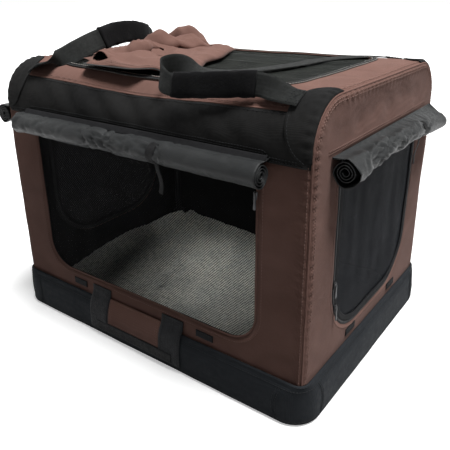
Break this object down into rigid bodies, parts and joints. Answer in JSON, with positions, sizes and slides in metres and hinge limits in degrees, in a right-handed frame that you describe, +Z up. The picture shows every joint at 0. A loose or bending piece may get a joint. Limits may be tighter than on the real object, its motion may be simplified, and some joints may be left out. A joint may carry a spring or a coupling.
{
  "type": "soft dog crate",
  "caption": "Folding soft dog crate: sewn fabric cover on a steel tube frame, mesh doors under rolled blinds, mesh roof window, fleece mat, deep base tray and webbing handles.",
  "frame": {"origin": "on the floor, below the middle of the base tray", "axes": "+Z up, +X along the long front toward the end panel that the picture shows, -Y out of the front door"},
  "size_m": [0.7546, 0.5512, 0.5875],
  "materials": {
    "frame_steel": "satin black powder coat",
    "black_plastic": "moulded",
    "black_cloth": "woven polyester",
    "brown_cloth": "woven polyester",
    "blind_cloth": "coated back of woven polyester",
    "black_mesh": "open knitted mesh",
    "webbing": "woven tape",
    "grip_padding": "padded sleeve",
    "zip_tape": "coil zip on tape",
    "zip_metal": "cast slider",
    "fleece": "sherpa fleece",
    "grey_board": "hollow sheet"
  },
  "bodies": {
    "crate": {"base_tube_loop": "frame_steel", "left_u_frame": "frame_steel", "right_u_frame": "frame_steel", "front_roof_rail": "frame_steel", "back_roof_rail": "frame_steel", "front_left_hinge_bracket": "black_plastic", "front_right_hinge_bracket": "black_plastic", "back_left_hinge_bracket": "black_plastic", "back_right_hinge_bracket": "black_plastic", "front_left_rail_clip": "black_plastic", "front_right_rail_clip": "black_plastic", "back_left_rail_clip": "black_plastic", "back_right_rail_clip": "black_plastic", "base_tray": "black_cloth", "front_upper_band": "black_cloth", "back_upper_band": "black_cloth", "front_left_corner_patch": "black_cloth", "front_right_corner_patch": "black_cloth", "back_left_corner_patch": "black_cloth", "back_right_corner_patch": "black_cloth", "base_board": "grey_board", "fleece_mat": "fleece", "front_panel": "brown_cloth", "back_panel": "brown_cloth", "roof_panel": "brown_cloth", "left_end_panel": "brown_cloth", "right_end_panel": "brown_cloth", "roof_flap": "brown_cloth", "front_base_patch": "brown_cloth", "front_door_zip": "zip_tape", "right_door_zip": "zip_tape", "left_door_zip": "zip_tape", "roof_zip": "zip_tape", "roof_mesh": "black_mesh", "front_base_webbing": "webbing", "front_left_loop_tab": "webbing", "front_right_loop_tab": "webbing", "right_front_loop_tab": "webbing", "right_back_loop_tab": "webbing", "left_front_loop_tab": "webbing", "left_back_loop_tab": "webbing", "right_lower_zip_slider": "zip_metal", "left_lower_zip_slider": "zip_metal"},
    "front_door": {"front_mesh_door": "black_mesh", "front_rolled_blind": "blind_cloth", "front_blind_tie": "webbing"},
    "right_door": {"right_mesh_door": "black_mesh", "right_rolled_blind": "blind_cloth", "right_blind_tie": "webbing"},
    "left_door": {"left_mesh_door": "black_mesh", "left_rolled_blind": "blind_cloth", "left_blind_tie": "webbing"},
    "left_handle": {"left_handle_strap": "webbing", "left_handle_grip": "grip_padding"},
    "right_handle": {"right_handle_strap": "webbing", "right_handle_grip": "grip_padding"},
    "front_slider": {"front_zip_slider": "zip_metal"},
    "right_slider": {"right_upper_zip_slider": "zip_metal"},
    "left_slider": {"left_upper_zip_slider": "zip_metal"}
  },
  "joints": [
    {"name": "front_door_lift", "type": "hinge", "parent": "crate", "child": "front_door", "pos_m": [0, -0.2505, 0.4335], "axis": [-1, 0, 0], "range_deg": [0, 80]},
    {"name": "right_door_lift", "type": "hinge", "parent": "crate", "child": "right_door", "pos_m": [0.3405, 0, 0.4335], "axis": [0, -1, 0], "range_deg": [0, 80]},
    {"name": "left_door_lift", "type": "hinge", "parent": "crate", "child": "left_door", "pos_m": [-0.3405, 0, 0.4335], "axis": [0, 1, 0], "range_deg": [0, 80]},
    {"name": "left_handle_lift", "type": "hinge", "parent": "crate", "child": "left_handle", "pos_m": [-0.3065, 0, 0.5238], "axis": [0, -1, 0], "range_deg": [0, 110]},
    {"name": "right_handle_lift", "type": "hinge", "parent": "crate", "child": "right_handle", "pos_m": [0.3065, 0, 0.5238], "axis": [0, 1, 0], "range_deg": [0, 100]},
    {"name": "front_slider_travel", "type": "slide", "parent": "crate", "child": "front_slider", "axis": [0, 0, -1], "range_m": [0, 0.19]},
    {"name": "right_slider_travel", "type": "slide", "parent": "crate", "child": "right_slider", "axis": [0, 0, 1], "range_m": [0, 0.16]},
    {"name": "left_slider_travel", "type": "slide", "parent": "crate", "child": "left_slider", "axis": [0, 0, 1], "range_m": [0, 0.16]}
  ]
}
